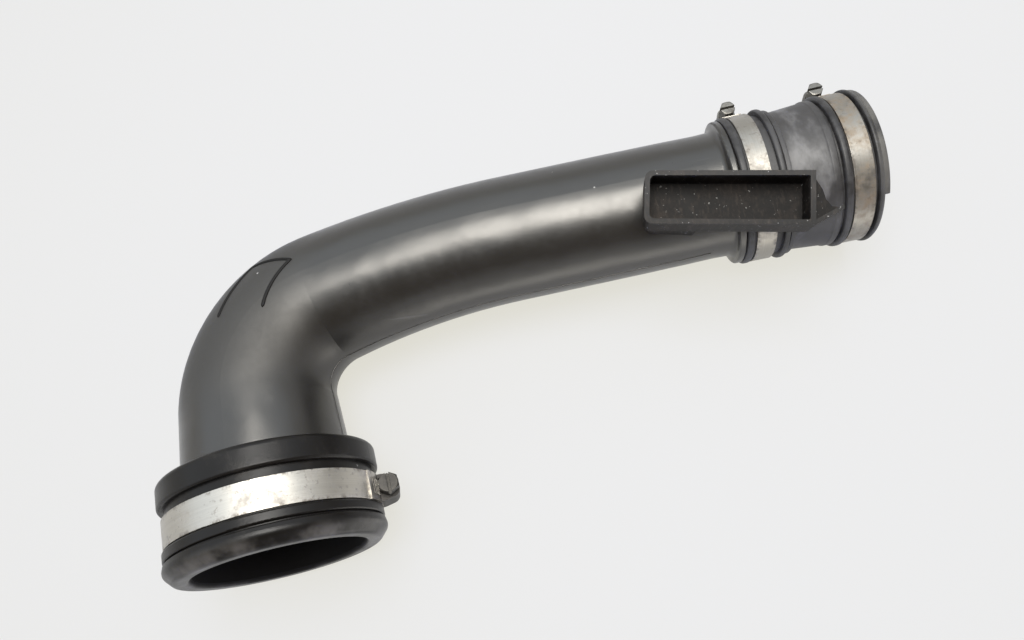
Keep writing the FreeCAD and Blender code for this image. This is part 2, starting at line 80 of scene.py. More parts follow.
cuff_end = end_frame(mounts["wide_cuff_bore"], CUFF_INSET)
sleeve_end = end_frame(mounts["narrow_sleeve_bore"], SLEEVE_INSET)
run_axis = Vector(mounts["narrow_sleeve_bore"]["axis"]).normalized()
pipe_up = Vector(mounts["wide_cuff_bore"]["axis"]).cross(run_axis).normalized()
pipe_axes = Matrix((run_axis, pipe_up.cross(run_axis), pipe_up)).transposed()
BEND_TO_SLEEVE = 0.1385     # from the start of the gentle bend to the sleeve's stated point
bend_start = Vector(mounts["narrow_sleeve_bore"]["pos_m"]) - run_axis * BEND_TO_SLEEVE
print("cuff mouth", tuple(cuff_end[0]), "sleeve mouth", tuple(sleeve_end[0]))

# %% [markdown]
# ## Helpers for node materials
# A material here is a small graph. Writing each node by hand in a tree hides the idea, so a thin
# builder adds a node, sets its inputs by name and links what is linkable. Constants that are the same
# all over a surface go straight onto the shader's own sockets.

# %% Node builder


class Graph:
    """Adds nodes to a tree: values are set on sockets, and sockets given as inputs are linked."""

    def __init__(self, tree):
        self.tree = tree

    def add(self, kind, inputs=None, **settings):
        """One node with its settings, its inputs by name or number set or linked."""
        node = self.tree.nodes.new(kind)
        for name, value in settings.items():
            setattr(node, name, value)
        for key, value in (inputs or {}).items():
            socket = node.inputs[key]
            if isinstance(value, bpy.types.NodeSocket):
                self.tree.links.new(value, socket)
            else:
                socket.default_value = value
        return node

    def math(self, operation, first, second=0.0, clamp=False):
        """Result socket of a math node."""
        node = self.add("ShaderNodeMath", {0: first, 1: second}, operation=operation, use_clamp=clamp)
        return node.outputs[0]

    def ramp(self, value, low, high):
        """Smooth step of a value from 0 at low to 1 at high."""
        node = self.add("ShaderNodeMapRange", {"Value": value, "From Min": low, "From Max": high},
                        interpolation_type="SMOOTHSTEP")
        return node.outputs["Result"]

    def noise(self, vector, scale, detail=4.0, roughness=0.55):
        """Value socket of a noise texture."""
        node = self.add("ShaderNodeTexNoise", {"Vector": vector, "Scale": scale, "Detail": detail,
                                               "Roughness": roughness})
        return node.outputs[0]

    def mix(self, factor, first, second):
        """Colour socket of a colour mix."""
        node = self.add("ShaderNodeMix", data_type="RGBA")
        sockets = node.inputs[0], node.inputs[6], node.inputs[7]
        for socket, value in zip(sockets, (factor, first, second)):
            if isinstance(value, bpy.types.NodeSocket):
                self.tree.links.new(value, socket)
            elif socket.type == "RGBA":
                socket.default_value = (*value, 1.0)
            else:
                socket.default_value = value
        return node.outputs[2]

    def share(self, mask, amount):
        """A mask times an amount."""
        return mask if amount == 1 else self.math("MULTIPLY", mask, amount)

    def total(self, base, *parts):
        """Sum of a base and of masks, each times its amount."""
        for mask, amount in parts:
            base = self.math("ADD", self.share(mask, amount), base)
        return base

    def layers(self, colour, *coats):
        """Colour under coats of other colours, each laid on through a mask times its amount."""
        for mask, amount, tint in coats:
            colour = self.mix(self.share(mask, amount), colour, tint)
        return colour

    def axes(self, vector):
        """X, Y and Z sockets of a vector."""
        return self.add("ShaderNodeSeparateXYZ", {0: vector}).outputs

    def stretched(self, vector, scale):
        """Vector scaled on each axis, so that a pattern runs along the least scaled one."""
        return self.add("ShaderNodeMapping", {"Vector": vector, "Scale": scale}).outputs[0]


def new_group(name, inputs, outputs):
    """Empty node group with float or vector inputs and float outputs, and its builder."""
    tree = bpy.data.node_groups.new(name, "ShaderNodeTree")
    for label, kind, value in inputs:
        socket = tree.interface.new_socket(label, in_out="INPUT", socket_type=kind)
        if kind == "NodeSocketFloat":
            socket.default_value = value
    for label in outputs:
        tree.interface.new_socket(label, in_out="OUTPUT", socket_type="NodeSocketFloat")
    graph = Graph(tree)
    entry = graph.add("NodeGroupInput")
    leave = graph.add("NodeGroupOutput")
    return tree, graph, entry.outputs, leave.inputs


def start_material(name):
    """Empty material with its output, its main shader, Object coordinates and a builder."""
    material = bpy.data.materials.new(name)
    material.use_nodes = True
    material.node_tree.nodes.clear()
    graph = Graph(material.node_tree)
    shader = graph.add("ShaderNodeBsdfPrincipled")
    output = graph.add("ShaderNodeOutputMaterial")
    graph.tree.links.new(shader.outputs[0], output.inputs[0])
    place = graph.add("ShaderNodeTexCoord").outputs["Object"]
    return material, graph, shader, place


def join(graph, shader, **sockets):
    """Link sockets to the shader's inputs, with underscores for the spaces in their names."""
    for name, socket in sockets.items():
        graph.tree.links.new(socket, shader.inputs[name.replace("_", " ")])


def fix(shader, **values):
    """Set the shader's own sockets to values that hold all over the surface."""
    for name, value in values.items():
        shader.inputs[name.replace("_", " ")].default_value = value


def turned_place(graph, place, mouth, turn):
    """Object coordinates seen from an end: Z is the distance in from the mouth, X and Y go across."""
    node = graph.add("ShaderNodeMapping", vector_type="TEXTURE",
                     inputs={"Vector": place, "Location": mouth, "Rotation": turn.to_euler()})
    return node.outputs[0]


def use(graph, group, **inputs):
    """Group node with its inputs by name, underscores for spaces."""
    node = graph.add("ShaderNodeGroup", node_tree=group)
    for name, value in inputs.items():
        socket = node.inputs[name.replace("_", " ")]
        if isinstance(value, bpy.types.NodeSocket):
            graph.tree.links.new(value, socket)
        else:
            socket.default_value = value
    return node.outputs


def bump(graph, height, strength, distance):
    """Normal socket of a bump node."""
    node = graph.add("ShaderNodeBump", {"Height": height, "Strength": strength, "Distance": distance})
    return node.outputs[0]


print("builder ready")

# %% [markdown]
# ## Wear that every surface shares
# A used hose is scuffed, dusty and speckled. All of it is one effect with other amounts, so it is one
# group: soft dust in patches, thin scratches that run any way, small pale specks, and a fine grain
# that roughens the surface.

# %% Shared wear group
SCRATCH_RUNS = ((0.5, 520.0), (2.1, 430.0))     # turn about Z and closeness of each set of scratches
SCRATCH_TILT = (0.3, 0.2)
SCRATCH_LENGTH, SCRATCH_DRIFT = 14.0, 60.0
SCRATCH_EDGES = (0.745, 0.785)
SPECK_CLOSENESS, SPECK_RADIUS, SPECK_RARITY = 95.0, 0.10, 0.56
DUST_FLOOR, DUST_REACH, DUST_FADE = 0.75, 0.4, 0.22
wear_group, g, given, result = new_group(
    "workshop_wear",
    [("Place", "NodeSocketVector", None), ("Dust Scale", "NodeSocketFloat", 40.0),
     ("Dust Level", "NodeSocketFloat", 0.5), ("Grain Scale", "NodeSocketFloat", 1800.0)],
    ["Dust", "Scratches", "Specks", "Grain", "Patches"])
wear_place = given["Place"]
patches = g.noise(wear_place, given["Dust Scale"], 5.0, 0.6)
fine_dust = g.noise(wear_place, g.share(given["Dust Scale"], 7.0), 5.0, 0.7)
blend_dust = g.total(g.share(fine_dust, 0.3), (patches, 0.7))
low_dust = g.total(DUST_FLOOR, (given["Dust Level"], -DUST_REACH))
dust = g.ramp(blend_dust, low_dust, g.math("ADD", low_dust, DUST_FADE))
scratch_masks = []
for turn, closeness in SCRATCH_RUNS:
    lines = g.add("ShaderNodeMapping", {"Vector": wear_place, "Rotation": (*SCRATCH_TILT, turn),
                                        "Scale": (SCRATCH_LENGTH, closeness, SCRATCH_DRIFT)}).outputs[0]
    scratch_masks.append(g.ramp(g.noise(lines, 1.0, 2.0, 0.5), *SCRATCH_EDGES))
cells = g.add("ShaderNodeTexVoronoi", {"Vector": wear_place, "Scale": SPECK_CLOSENESS, "Randomness": 1.0})
speck_size = g.share(g.noise(wear_place, 60.0, 2.0), SPECK_RADIUS)
specks = g.math("LESS_THAN", cells.outputs["Distance"], speck_size)
rare = g.math("GREATER_THAN", g.noise(wear_place, 23.0, 2.0), SPECK_RARITY)
masks = {"Dust": dust, "Scratches": g.math("MAXIMUM", *scratch_masks),
         "Specks": g.math("MULTIPLY", specks, rare), "Patches": patches,
         "Grain": g.noise(wear_place, given["Grain Scale"], 3.0, 0.6)}
for label, mask in masks.items():
    g.tree.links.new(mask, result[label])
print("wear group", len(g.tree.nodes), "nodes")

# %% [markdown]
# ## Moulded plastic of the pipe
# The pipe is satin black. Its walls are blown against a mould, so they are never quite even: slow
# waves break the long highlights. Low down it turns brown in patches, and handling has left fine
# scratches and a few pale chips.

# %% Pipe plastic
PIPE_BLACK = (0.0100, 0.0092, 0.0082)
PIPE_WORN = (0.024, 0.023, 0.022)
LOW_BROWN_TINT = (0.040, 0.031, 0.020)
SCRATCH_GREY = (0.075, 0.074, 0.072)
CHIP_PALE = (0.32, 0.31, 0.29)
GLOSS_TINT = (1.0, 0.975, 0.93, 1.0)
DUST_TINT = (1.0, 0.98, 0.90, 1.0)
LOW_TINT_TOP = 0.030        # the brown tint fades out at this height above the table
MATT_START = -0.075     # towards the elbow the moulding is rubbed matt, from here along X
MATT_FULL = -0.105
MATT_LOW = -0.020       # and from here along Y
MATT_HIGH = 0.010
WAVE_SCALE = 26.0       # the blown wall is uneven
WAVE_DEPTH = 0.0016


def pipe_plastic():
    """Satin black with worn patches, browner in patches towards the table, scratches and pale chips."""
    material, graph, shader, place = start_material("pipe_plastic")
    wear = use(graph, wear_group, Place=place, Dust_Scale=34.0, Dust_Level=0.55, Grain_Scale=1500.0)
    x, y, z = graph.axes(place)
    # Browner in patches towards the table.
    low_tint = graph.math("MULTIPLY", graph.ramp(z, LOW_TINT_TOP, 0.0), wear["Patches"])
    colour = graph.layers(PIPE_BLACK, (wear["Dust"], 0.55, PIPE_WORN), (low_tint, 1, LOW_BROWN_TINT),
                          (wear["Scratches"], 0.35, SCRATCH_GREY), (wear["Specks"], 0.8, CHIP_PALE))
    smear = graph.noise(place, 75.0)
    mottle = graph.noise(place, 420.0, 4.0, 0.65)
    matt = graph.math("MULTIPLY", graph.ramp(x, MATT_START, MATT_FULL), graph.ramp(y, MATT_LOW, MATT_HIGH))
    rough = graph.total(0.19, (smear, 0.14), (mottle, 0.12), (matt, 0.30), (wear["Dust"], 0.09))
    waves = graph.noise(place, WAVE_SCALE, 2.0)
    relief = graph.total(waves, (wear["Grain"], 0.02), (wear["Scratches"], -0.03))
    join(graph, shader, Base_Color=colour, Roughness=rough, Normal=bump(graph, relief, 0.6, WAVE_DEPTH))
    fix(shader, Specular_IOR_Level=0.8, Specular_Tint=GLOSS_TINT)
    fix(shader, Sheen_Weight=0.12, Sheen_Roughness=0.28, Sheen_Tint=DUST_TINT)
    return material


# %% [markdown]
# ## Plastic of the bracket and the border
# The bracket is the same black plastic, but dusty and matt: fine streaks run down its channel and lint
# lies in it. A paler band along its rims is a painted highlight. The raised border on the elbow is
# darker than the pipe, partly with dirt and partly with painted shade beside its ridges.

# %% Bracket and border plastic
BRACKET_BLACK = (0.0052, 0.0043, 0.0037)
BRACKET_DUST = (0.018, 0.0140, 0.0112)
STREAK_BROWN = (0.075, 0.058, 0.046)
STREAK_RUN = (700.0, 240.0, 120.0)
RIM_HIGHLIGHT_GREY = (0.10, 0.10, 0.098)
LINT_PALE = (0.42, 0.41, 0.39)
CRUMB_WHITE = (0.55, 0.54, 0.52)
RIM_BAND = 0.004        # the painted highlight on the rims covers this height, up to a little below their top
RIM_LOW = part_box("bracket")[1].z - 0.0042
# The border's black is darker than the pipe's: partly dirt, partly painted shade beside its ridges.
MARK_DIRT_AND_SHADE_BLACK = (0.0045, 0.0040, 0.0036)
MARK_DIRT = (0.020, 0.018, 0.016)


def bracket_plastic():
    """Dusty brown-black with fine streaks down the channel, pale lint and a painted highlight along the
    rims.
    """
    material, graph, shader, place = start_material("bracket_plastic")
    wear = use(graph, wear_group, Place=place, Dust_Scale=60.0, Dust_Level=0.75, Grain_Scale=2200.0)
    streak = graph.ramp(graph.noise(graph.stretched(place, STREAK_RUN), 1.0, 4.0, 0.65), 0.48, 0.72)
    # Painted highlight: a paler band along the top of the rims.
    rim = graph.ramp(graph.axes(place)[2], RIM_LOW, RIM_LOW + RIM_BAND)
    lint = graph.ramp(graph.noise(place, 900.0, 2.0, 0.5), 0.69, 0.73)
    colour = graph.layers(BRACKET_BLACK, (wear["Dust"], 1, BRACKET_DUST), (streak, 0.22, STREAK_BROWN),
                          (rim, 0.20, RIM_HIGHLIGHT_GREY), (lint, 0.40, LINT_PALE), (wear["Specks"], 0.9, CRUMB_WHITE))
    rough = graph.total(0.5, (wear["Patches"], 0.2))
    relief = graph.total(streak, (wear["Grain"], 0.4))
    join(graph, shader, Base_Color=colour, Roughness=rough, Normal=bump(graph, relief, 0.25, 0.0002))
    fix(shader, Specular_IOR_Level=0.15)
    return material


def mark_plastic():
    """Plastic of the raised border: matt and darker than the pipe, partly dirt and partly painted shade
    beside its ridges.
    """
    material, graph, shader, place = start_material("mark_plastic")
    wear = use(graph, wear_group, Place=place, Dust_Scale=220.0, Dust_Level=0.5, Grain_Scale=1800.0)
    # Dark base: partly dirt, partly painted shade along the border.
    colour = graph.layers(MARK_DIRT_AND_SHADE_BLACK, (wear["Dust"], 0.6, MARK_DIRT))
    join(graph, shader, Base_Color=colour, Normal=bump(graph, wear["Grain"], 0.2, 0.0001))
    fix(shader, Roughness=0.62, Specular_IOR_Level=0.2)
    return material


print("plastics ready, rims rubbed from z =", round(RIM_LOW, 4))

# %% [markdown]
# ## Rubber of the cuff and the sleeve
# The cuff is brown-black and has been rubbed pale on its lip. The sleeve is greyer: old rubber blooms,
# a bluish dust with whitish wiped smudges. Both wear by the distance from the mouth, so both read the
# coordinates of their own end.

# %% Rubber finishes
CUFF_BORE = mounts["wide_cuff_bore"]["dims"]["r_mm"] / 1000
CUFF_BLACK = (0.0060, 0.0052, 0.0045)
CUFF_DUST = (0.0155, 0.0135, 0.0115)
CUFF_RUBBED = (0.17, 0.155, 0.135)
CUFF_SPECK = (0.3, 0.29, 0.27)
BORE_SHADE_BLACK = (0.0035, 0.0030, 0.0028)
CUFF_LIP = (0.0065, 0.0005)         # the rubbed lip fades in between these distances from the mouth
BORE_SKIN = (0.0016, 0.0002)        # and the painted shade inside between these distances from the bore
SLEEVE_BLACK = (0.011, 0.0100, 0.0095)
SLEEVE_DUST = (0.040, 0.0385, 0.038)
SLEEVE_BODY = (0.042, 0.0392, 0.0372)
SLEEVE_SMUDGE = (0.15, 0.145, 0.143)
SLEEVE_RUBBED = (0.13, 0.122, 0.105)
SLEEVE_SPECK = (0.02, 0.02, 0.02)
BODY_IN, BODY_OUT = (0.020, 0.026), (0.043, 0.038)
SLEEVE_LIP = (0.0088, 0.0058)
SMUDGE_RUN = (55.0, 30.0, 30.0)


def cuff_rubber():
    """Matt brown-black, with the lip rubbed to a pale grey and the bore painted black as shade."""
    material, graph, shader, place = start_material("cuff_rubber")
    local = turned_place(graph, place, *cuff_end)
    wear = use(graph, wear_group, Place=place, Dust_Scale=70.0, Dust_Level=0.6, Grain_Scale=2600.0)
    lip = graph.ramp(graph.axes(local)[2], *CUFF_LIP)
    rubbed = graph.math("MULTIPLY", lip, graph.ramp(graph.noise(place, 45.0), 0.42, 0.62))
    across = graph.add("ShaderNodeVectorMath", {0: local, 1: (1.0, 1.0, 0.0)}, operation="MULTIPLY")
    radius = graph.add("ShaderNodeVectorMath", {0: across.outputs[0]}, operation="LENGTH").outputs["Value"]
    # Painted shade: the bore is laid on near black.
    bore = graph.ramp(radius, *(CUFF_BORE + depth for depth in BORE_SKIN))
    colour = graph.layers(CUFF_BLACK, (wear["Dust"], 1, CUFF_DUST), (rubbed, 0.42, CUFF_RUBBED),
                          (wear["Specks"], 0.5, CUFF_SPECK), (bore, 1, BORE_SHADE_BLACK))
    rough = graph.total(0.20, (wear["Patches"], 0.26), (bore, 0.55))
    relief = graph.total(wear["Dust"], (wear["Grain"], 0.5))
    join(graph, shader, Base_Color=colour, Roughness=rough, Normal=bump(graph, relief, 0.3, 0.0002))
    fix(shader, Specular_IOR_Level=0.20)
    return material


def sleeve_rubber():
    """Dusty grey over dark rubber, with whitish smudges along the smooth body and a rubbed lip."""
    material, graph, shader, place = start_material("sleeve_rubber")
    local = turned_place(graph, place, *sleeve_end)
    wear = use(graph, wear_group, Place=place, Dust_Scale=48.0, Dust_Level=0.9, Grain_Scale=2400.0)
    inward = graph.axes(local)[2]
    body = graph.math("MULTIPLY", graph.ramp(inward, *BODY_IN), graph.ramp(inward, *BODY_OUT))
    smudge = graph.ramp(graph.noise(graph.stretched(place, SMUDGE_RUN), 1.0, 5.0, 0.6), 0.5, 0.68)
    lip = graph.math("MULTIPLY", graph.ramp(inward, *SLEEVE_LIP), graph.ramp(wear["Patches"], 0.30, 0.55))
    colour = graph.layers(SLEEVE_BLACK, (wear["Dust"], 1, SLEEVE_DUST), (body, 0.6, SLEEVE_BODY),
                          (graph.math("MULTIPLY", smudge, body), 0.7, SLEEVE_SMUDGE),
                          (lip, 0.5, SLEEVE_RUBBED), (wear["Specks"], 0.6, SLEEVE_SPECK))
    rough = graph.total(0.36, (wear["Patches"], 0.24))
    relief = graph.total(smudge, (wear["Grain"], 0.5))
    join(graph, shader, Base_Color=colour, Roughness=rough, Normal=bump(graph, relief, 0.25, 0.0002))
    fix(shader, Specular_IOR_Level=0.4)
    return material


print("rubbers ready, cuff bore", CUFF_BORE)

# %% [markdown]
# ## Steel of the clamps
# The bands are bright rolled steel with brushing round the ring, grey-brown stains and dark specks of
# dirt. Housings and screws are the same metal left dull. Stains that lie on the metal take its
# metallic look away, so one mask drives colour, metal and roughness together.

# %% Steel finishes
STEEL_DARK = (0.42, 0.395, 0.35)
STEEL_PALE = (0.62, 0.59, 0.53)
BAND_DIRT = (0.085, 0.070, 0.055)
BRUSHING_RUN = (25.0, 25.0, 2600.0)
SCRATCH_LIFT = 2.6      # scratches in dull plate are this much brighter than the plate
EDGE_DIRT = 0.0022      # width of the dirty line along each edge of a band
WIDE_SPAN = (0.0131, 0.0251)      # the bands' edges, from the mouths
OUTER_SPAN = (0.0095, 0.0175)
INNER_SPAN = (0.0477, 0.0557)


def tone(level, colour):
    """A colour times a level."""
    return tuple(level * channel for channel in colour)


def band_steel(name, end, span, level, stain_level, stain):
    """Brushed steel: lines run round the axis, stains dull it in patches, and dirt lines both edges."""
    material, graph, shader, place = start_material(name)
    local = turned_place(graph, place, *end)
    brushing = graph.noise(graph.stretched(local, BRUSHING_RUN), 1.0, 3.0, 0.6)
    wear = use(graph, wear_group, Place=place, Dust_Scale=85.0, Dust_Level=stain_level, Grain_Scale=900.0)
    inward = graph.axes(local)[2]
    low_edge = graph.ramp(inward, span[0] + EDGE_DIRT, span[0])
    high_edge = graph.ramp(inward, span[1] - EDGE_DIRT, span[1])
    edges = graph.math("MAXIMUM", low_edge, high_edge)
    crumbs = graph.ramp(graph.noise(place, 260.0, 4.0, 0.65), 0.46, 0.62)
    spots = graph.ramp(graph.noise(place, 420.0, 3.0, 0.6), 0.60, 0.68)
    edge_dirt = graph.math("MULTIPLY", edges, crumbs)
    spot_dirt = graph.math("MULTIPLY", spots, wear["Patches"])
    dirt = graph.share(graph.math("MAXIMUM", edge_dirt, spot_dirt), 0.8)
    steel = graph.mix(brushing, tone(level, STEEL_DARK), tone(level, STEEL_PALE))
    colour = graph.layers(steel, (wear["Dust"], 0.75, stain), (dirt, 1, BAND_DIRT))
    metal = graph.total(0.95, (graph.math("MAXIMUM", wear["Dust"], dirt), -0.5))
    rough = graph.total(0.32, (brushing, 0.14), (wear["Dust"], 0.2))
    relief = graph.total(dirt, (brushing, 0.5))
    join(graph, shader, Base_Color=colour, Metallic=metal, Roughness=rough,
         Normal=bump(graph, relief, 0.22, 0.00012))
    return material


def dull_steel(name, pale, dark):
    """Old zinc plate: mottled grey, dark in patches, with fine pitting."""
    material, graph, shader, place = start_material(name)
    wear = use(graph, wear_group, Place=place, Dust_Scale=170.0, Dust_Level=0.7, Grain_Scale=1200.0)
    colour = graph.layers(pale, (wear["Dust"], 1, dark), (wear["Scratches"], 0.5, tone(SCRATCH_LIFT, pale)))
    metal = graph.total(0.95, (wear["Dust"], -0.5))
    rough = graph.total(0.34, (wear["Patches"], 0.25))
    join(graph, shader, Base_Color=colour, Metallic=metal, Roughness=rough,
         Normal=bump(graph, wear["Grain"], 0.3, 0.00015))
    return material


print("steels ready")

# %% [markdown]
# ## Dressing the solids
# Each solid keeps its place and its mesh, and only its material slot changes. The three bands differ
# in how stained they are: the outer one on the sleeve has gone brown and golden in patches.

# %% Assign the finishes
GREY_STAIN = (0.20, 0.18, 0.155)
GOLD_STAIN = (0.165, 0.115, 0.065)
finishes = {
    "pipe": pipe_plastic(),
    "bracket": bracket_plastic(),
    "wide_cuff": cuff_rubber(),
    "narrow_sleeve": sleeve_rubber(),
    "wide_clamp_band": band_steel("wide_band_steel", cuff_end, WIDE_SPAN, 0.86, 0.66, GREY_STAIN),
    "inner_clamp_band": band_steel("inner_band_steel", sleeve_end, INNER_SPAN, 0.60, 0.72, GREY_STAIN),
    "outer_clamp_band": band_steel("outer_band_steel", sleeve_end, OUTER_SPAN, 0.50, 0.84, GOLD_STAIN),
}
housing_steel = dull_steel("housing_steel", (0.15, 0.142, 0.128), (0.042, 0.036, 0.030))
screw_steel = dull_steel("screw_steel", (0.17, 0.162, 0.146), (0.048, 0.041, 0.034))
for clamp in ("inner_clamp", "outer_clamp"):
    finishes[clamp + "_housing"] = housing_steel
    finishes[clamp + "_screw"] = screw_steel
# The wide clamp's housing and screw are laid on near black: painted shade under the screw head, not dirt.
finishes["wide_clamp_housing"] = dull_steel(
    "painted_shade_housing_steel", (0.030, 0.028, 0.026), (0.009, 0.008, 0.007))
finishes["wide_clamp_screw"] = dull_steel(
    "painted_shade_screw_steel", (0.036, 0.034, 0.031), (0.011, 0.010, 0.009))
for name, material in finishes.items():
    slots = nodes[name].data.materials
    slots.clear()
    slots.append(material)
print("dressed", len(finishes), "of", len(nodes), "nodes")

# %% [markdown]
# ## Moulded marks on the pipe
# The two halves of the mould leave a fine ridge along each side of the pipe, and on top of the elbow
# there is a small raised border. Both are beads that follow the skin. Their lines are laid out along
# the pipe's own centreline, and a ray from outside finds where the skin really is.

# %% Centreline and skin
STRAIGHT_RUN = 0.097
GENTLE_RADIUS = 0.367
GENTLE_TURN = math.radians(13.8)
ELBOW_RADIUS = 0.0447
ELBOW_TURN = math.radians(83.6)
WIDE_RUN = 0.025
OUTSIDE = 0.060         # a ray towards the skin starts this far from the centreline
skin = BVHTree.FromObject(nodes["pipe"], bpy.context.evaluated_depsgraph_get())


def centreline(distance):
    """Point and heading at a distance from the flange: a line, a gentle arc, a tight arc and a line."""
    turn = 0.0
    point = np.array([STRAIGHT_RUN, 0.0])
    for length, radius in ((STRAIGHT_RUN, None), (GENTLE_RADIUS * GENTLE_TURN, GENTLE_RADIUS),
                           (ELBOW_RADIUS * ELBOW_TURN, ELBOW_RADIUS), (WIDE_RUN, None)):
        step = min(distance, length)
        if radius is None:
            point = point - step * np.array([math.cos(turn), math.sin(turn)])
        else:
            last = turn + step / radius
            point = point + radius * np.array([math.sin(turn) - math.sin(last),
                                               math.cos(last) - math.cos(turn)])
            turn = last
        distance -= step
    return point, turn


def skin_point(distance, tube):
    """Skin point and its normal at a distance along the pipe and an angle round it from outside."""
    point, turn = centreline(distance)
    level = Vector((-math.sin(turn), math.cos(turn), 0.0))
    outward = level * math.cos(tube) + Vector((0, 0, math.sin(tube)))
    centre = bend_start + pipe_axes @ Vector((*point, 0.0))
    away = pipe_axes @ outward
    hit = skin.ray_cast(centre + away * OUTSIDE, -away)
    return hit[0], hit[1]


BEAD_SIDES = 12


def bead(name, places, width, height, material):
    """Bead on the skin: S(s, a) = P(s) + e(s) (width/2 cos a side + height sin a normal).

    P is the skin under the bead, and e falls to nothing at both ends on a quarter circle.
    """
    found = [skin_point(distance, tube) for distance, tube in places]
    points = np.array([tuple(point) for point, _ in found])
    normals = np.array([tuple(normal) for _, normal in found])
    along = np.gradient(points, axis=0)
    along /= np.linalg.norm(along, axis=1, keepdims=True)
    sides = np.cross(normals, along)
    sides /= np.linalg.norm(sides, axis=1, keepdims=True)
    steps = np.linalg.norm(np.diff(points, axis=0), axis=1)
    run = np.concatenate([[0.0], np.cumsum(steps)])
    to_end = np.minimum(run, run[-1] - run)
    swell = np.sqrt(np.clip(1 - (1 - np.clip(to_end / width, 0, 1)) ** 2, 1e-4, 1))
    angles = np.linspace(0, 2 * math.pi, BEAD_SIDES, endpoint=False)
    ring = (np.cos(angles)[None, :, None] * sides[:, None, :] * width / 2
            + np.sin(angles)[None, :, None] * normals[:, None, :] * height)
    grid = points[:, None, :] + swell[:, None, None] * ring
    rows, columns = grid.shape[:2]
    row, column = np.meshgrid(np.arange(rows - 1), np.arange(columns), indexing="ij")
    beside = (column + 1) % columns
    faces = np.stack([row * columns + column, row * columns + beside,
                      (row + 1) * columns + beside, (row + 1) * columns + column], axis=-1).reshape(-1, 4)
    caps = [list(range(columns))[::-1], list(range((rows - 1) * columns, rows * columns))]
    mesh = bpy.data.meshes.new(name)
    mesh.from_pydata(grid.reshape(-1, 3).tolist(), [], faces.tolist() + caps)
    mesh.polygons.foreach_set("use_smooth", [True] * len(mesh.polygons))
    piece = bpy.data.objects.new(name, mesh)
    bpy.context.scene.collection.objects.link(piece)
    piece.data.materials.append(material)
    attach(piece, "root")
    print(name, len(mesh.vertices), "points")


# %% Mould ridges
RIDGE_WIDTH = 0.0011
RIDGE_HEIGHT = 0.0003
RIDGE_START = 0.0130    # clear of the flare
RIDGE_END = 0.0012      # clear of the cuff
RIDGE_STEPS = 260
pipe_length = STRAIGHT_RUN + GENTLE_RADIUS * GENTLE_TURN + ELBOW_RADIUS * ELBOW_TURN + WIDE_RUN
for side, tube in (("outer", 0.0), ("inner", math.pi)):
    stations = np.linspace(RIDGE_START, pipe_length - RIDGE_END, RIDGE_STEPS)
    places = [(distance, tube) for distance in stations]
    bead(side + "_mould_ridge", places, RIDGE_WIDTH, RIDGE_HEIGHT, finishes["pipe"])

# %% Border on the elbow
elbow_start = STRAIGHT_RUN + GENTLE_RADIUS * GENTLE_TURN
BORDER_CORNERS = ((43.9, 67.1), (19.4, 50.0), (2.9, 74.2), (29.1, 97.9))   # degrees along and round
BORDER_STEPS = 40
BORDER_WIDTH = 0.0016
BORDER_HEIGHT = 0.0006
border_places = []
for first, last in zip(BORDER_CORNERS[:-1], BORDER_CORNERS[1:]):
    for share in np.linspace(0, 1, BORDER_STEPS, endpoint=False):
        path_angle, tube_angle = (math.radians(a + (b - a) * share) for a, b in zip(first, last))
        border_places.append((elbow_start + ELBOW_RADIUS * path_angle, tube_angle))
bead("elbow_border", border_places, BORDER_WIDTH, BORDER_HEIGHT, mark_plastic())

# %% [markdown]
# ## The rubber sleeve
# The sleeve is a turned shape, and in the photograph its lip is narrow: the outer clamp sits close to
# the mouth, and a half ring stands out of it. A solid with a longer lip is in the model, so this step
# turns the true profile and lets it stand for that solid. The profile runs once round the wall, first
# outside from the mouth to the pipe and then back inside.

# %% Sleeve profile
MM = 0.001
MOUTH = 6.0             # the mouth of the true sleeve, from the solid's mouth
LIP, BEAD, LOW_BEAD, END_BEAD = 32.3, 32.2, 31.1, 31.8
SEAT, GROOVE, BODY, WAIST = 30.7, 29.9, 30.6, 29.6
BORE, SPIGOT_HOLE, RIDGE_ROOM = 27.0, 25.7, 26.3
OUTER_SEAT, FIRST_BEAD, STEP, BODY_START = 9.0, 18.0, 21.0, 24.6
INNER_BEAD, GAP, INNER_SEAT, LAST_BEAD, SLEEVE_LENGTH = 39.6, 44.6, 47.2, 56.2, 59.4
SPIGOT_TIP, RIDGE_FOOT = 37.4, 41.6
outside = [(MOUTH, BORE + 1.0, 0.5), (MOUTH, LIP - 0.9, 0.7), (MOUTH + 1.2, LIP, 0.8),
           (OUTER_SEAT - 0.9, LIP, 0.5), (OUTER_SEAT - 0.6, GROOVE, 0), (OUTER_SEAT, GROOVE, 0),
           (OUTER_SEAT, SEAT, 0), (FIRST_BEAD, SEAT, 0), (FIRST_BEAD, BEAD, 1.0),
           (STEP - 0.3, BEAD, 1.0), (STEP, GROOVE, 0), (STEP + 0.9, GROOVE, 0),
           (STEP + 0.9, LOW_BEAD, 0.5), (BODY_START, LOW_BEAD, 0.5), (BODY_START + 0.6, BODY, 0),
           (INNER_BEAD, WAIST, 0), (INNER_BEAD + 0.3, LOW_BEAD, 0.5), (INNER_BEAD + 2.2, LOW_BEAD, 0.5),
           (INNER_BEAD + 2.5, WAIST + 0.5, 0), (INNER_BEAD + 2.8, BEAD, 0.8), (GAP, BEAD, 0.8),
           (GAP, GROOVE, 0), (INNER_SEAT, GROOVE, 0), (INNER_SEAT, SEAT, 0), (LAST_BEAD, SEAT, 0),
           (LAST_BEAD, END_BEAD, 1.0), (SLEEVE_LENGTH, END_BEAD, 1.0)]
inside = [(SLEEVE_LENGTH, SPIGOT_HOLE, 0), (RIDGE_FOOT, SPIGOT_HOLE, 0), (RIDGE_FOOT - 1.0, RIDGE_ROOM, 0),
          (SPIGOT_TIP, RIDGE_ROOM, 0), (SPIGOT_TIP - 1.0, BORE, 0), (MOUTH + 1.0, BORE, 0)]


